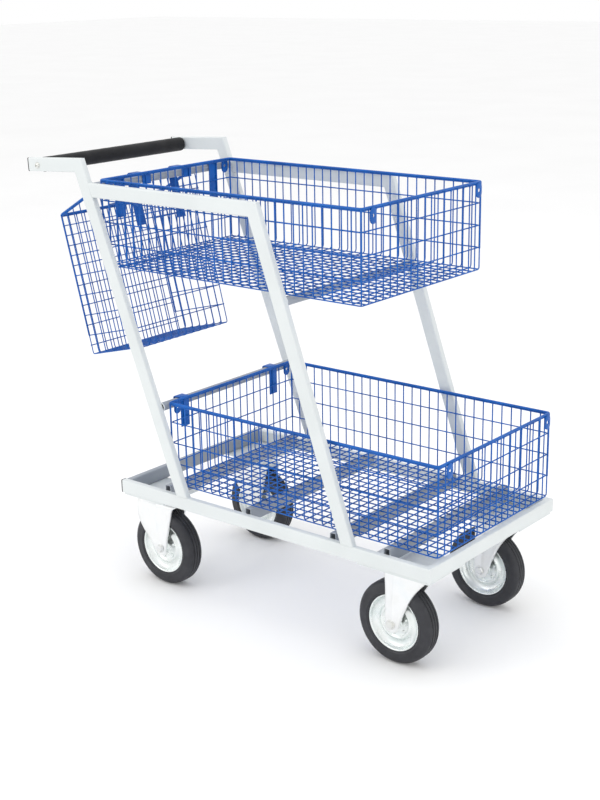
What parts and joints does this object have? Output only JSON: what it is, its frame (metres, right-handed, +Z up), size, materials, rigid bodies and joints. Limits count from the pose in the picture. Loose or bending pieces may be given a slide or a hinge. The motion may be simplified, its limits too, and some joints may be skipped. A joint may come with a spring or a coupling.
{
  "type": "rolling basket trolley",
  "caption": "Push trolley with a tubular steel frame, wire mesh baskets hooked on one above another and behind the handle posts, fixed front castors and swivelling rear castors.",
  "frame": {"origin": "middle of the bounding box on the floor plane under the wheels", "axes": "+X forwards, away from the push handle; +Y to the left; +Z up"},
  "size_m": [1.1642, 0.5132, 1.033],
  "materials": {
    "frame_paint": "satin powder coat, light cool grey",
    "grip_foam": "matte black foam rubber",
    "cap_plastic": "matte black",
    "zinc": "bright zinc plate",
    "wheel_zinc": "bright zinc plate with a faint yellow tint",
    "tyre_rubber": "matte black rubber",
    "basket_blue": "glossy blue plastic coat on steel wire"
  },
  "bodies": {
    "frame": {"rail_right": "frame_paint", "rail_left": "frame_paint", "front_rail": "frame_paint", "rear_post_right": "frame_paint", "rear_post_left": "frame_paint", "front_post_right": "frame_paint", "front_post_left": "frame_paint", "top_rail_right": "frame_paint", "top_rail_left": "frame_paint", "handle_arm_right": "frame_paint", "handle_arm_left": "frame_paint", "corner_plates": "frame_paint", "rear_cross": "frame_paint", "deck_slats": "frame_paint", "rear_top_bar": "frame_paint", "rear_low_bar": "frame_paint", "front_bar": "frame_paint", "handle_tube": "frame_paint", "handle_grip": "grip_foam", "rail_caps": "cap_plastic", "arm_caps": "cap_plastic", "handle_bolts": "zinc", "front_fork_right": "zinc", "front_fork_left": "zinc", "front_axles": "zinc", "swivel_plates": "zinc", "king_bolts": "zinc"},
    "front_wheel_right": {"front_tyre_right": "tyre_rubber", "front_disc_right": "wheel_zinc"},
    "rear_swivel_right": {"rear_fork_right": "zinc", "rear_axle_right": "zinc"},
    "rear_wheel_right": {"rear_tyre_right": "tyre_rubber", "rear_disc_right": "wheel_zinc"},
    "front_wheel_left": {"front_tyre_left": "tyre_rubber", "front_disc_left": "wheel_zinc"},
    "rear_swivel_left": {"rear_fork_left": "zinc", "rear_axle_left": "zinc"},
    "rear_wheel_left": {"rear_tyre_left": "tyre_rubber", "rear_disc_left": "wheel_zinc"},
    "upper_basket": {"upper_rim": "basket_blue", "upper_walls": "basket_blue", "upper_floor": "basket_blue", "upper_hooks": "basket_blue", "upper_tabs": "basket_blue"},
    "lower_basket": {"lower_rim": "basket_blue", "lower_walls": "basket_blue", "lower_floor": "basket_blue", "lower_hooks": "basket_blue", "lower_tabs": "basket_blue"},
    "rear_basket": {"rear_rim": "basket_blue", "rear_walls": "basket_blue", "rear_floor": "basket_blue", "rear_hooks": "basket_blue"}
  },
  "joints": [
    {"name": "front_wheel_right_spin", "type": "hinge", "parent": "frame", "child": "front_wheel_right", "pos_m": [0.45045, -0.178, 0.095], "axis": [0, 1, 0], "continuous": true},
    {"name": "rear_swivel_right_turn", "type": "hinge", "parent": "frame", "child": "rear_swivel_right", "pos_m": [-0.27335, -0.176, 0.215], "axis": [0, 0, 1], "continuous": true},
    {"name": "rear_wheel_right_spin", "type": "hinge", "parent": "rear_swivel_right", "child": "rear_wheel_right", "pos_m": [-0.23735, -0.176, 0.095], "axis": [0, 1, 0], "continuous": true},
    {"name": "front_wheel_left_spin", "type": "hinge", "parent": "frame", "child": "front_wheel_left", "pos_m": [0.45045, 0.178, 0.095], "axis": [0, 1, 0], "continuous": true},
    {"name": "rear_swivel_left_turn", "type": "hinge", "parent": "frame", "child": "rear_swivel_left", "pos_m": [-0.27335, 0.176, 0.215], "axis": [0, 0, 1], "continuous": true},
    {"name": "rear_wheel_left_spin", "type": "hinge", "parent": "rear_swivel_left", "child": "rear_wheel_left", "pos_m": [-0.23735, 0.176, 0.095], "axis": [0, 1, 0], "continuous": true},
    {"name": "upper_basket_lift", "type": "slide", "parent": "frame", "child": "upper_basket", "axis": [0, 0, 1], "range_m": [0, 0.25]},
    {"name": "lower_basket_lift", "type": "slide", "parent": "frame", "child": "lower_basket", "axis": [0, 0, 1], "range_m": [0, 0.2]},
    {"name": "rear_basket_lift", "type": "slide", "parent": "frame", "child": "rear_basket", "axis": [0, 0, 1], "range_m": [0, 0.03]}
  ]
}
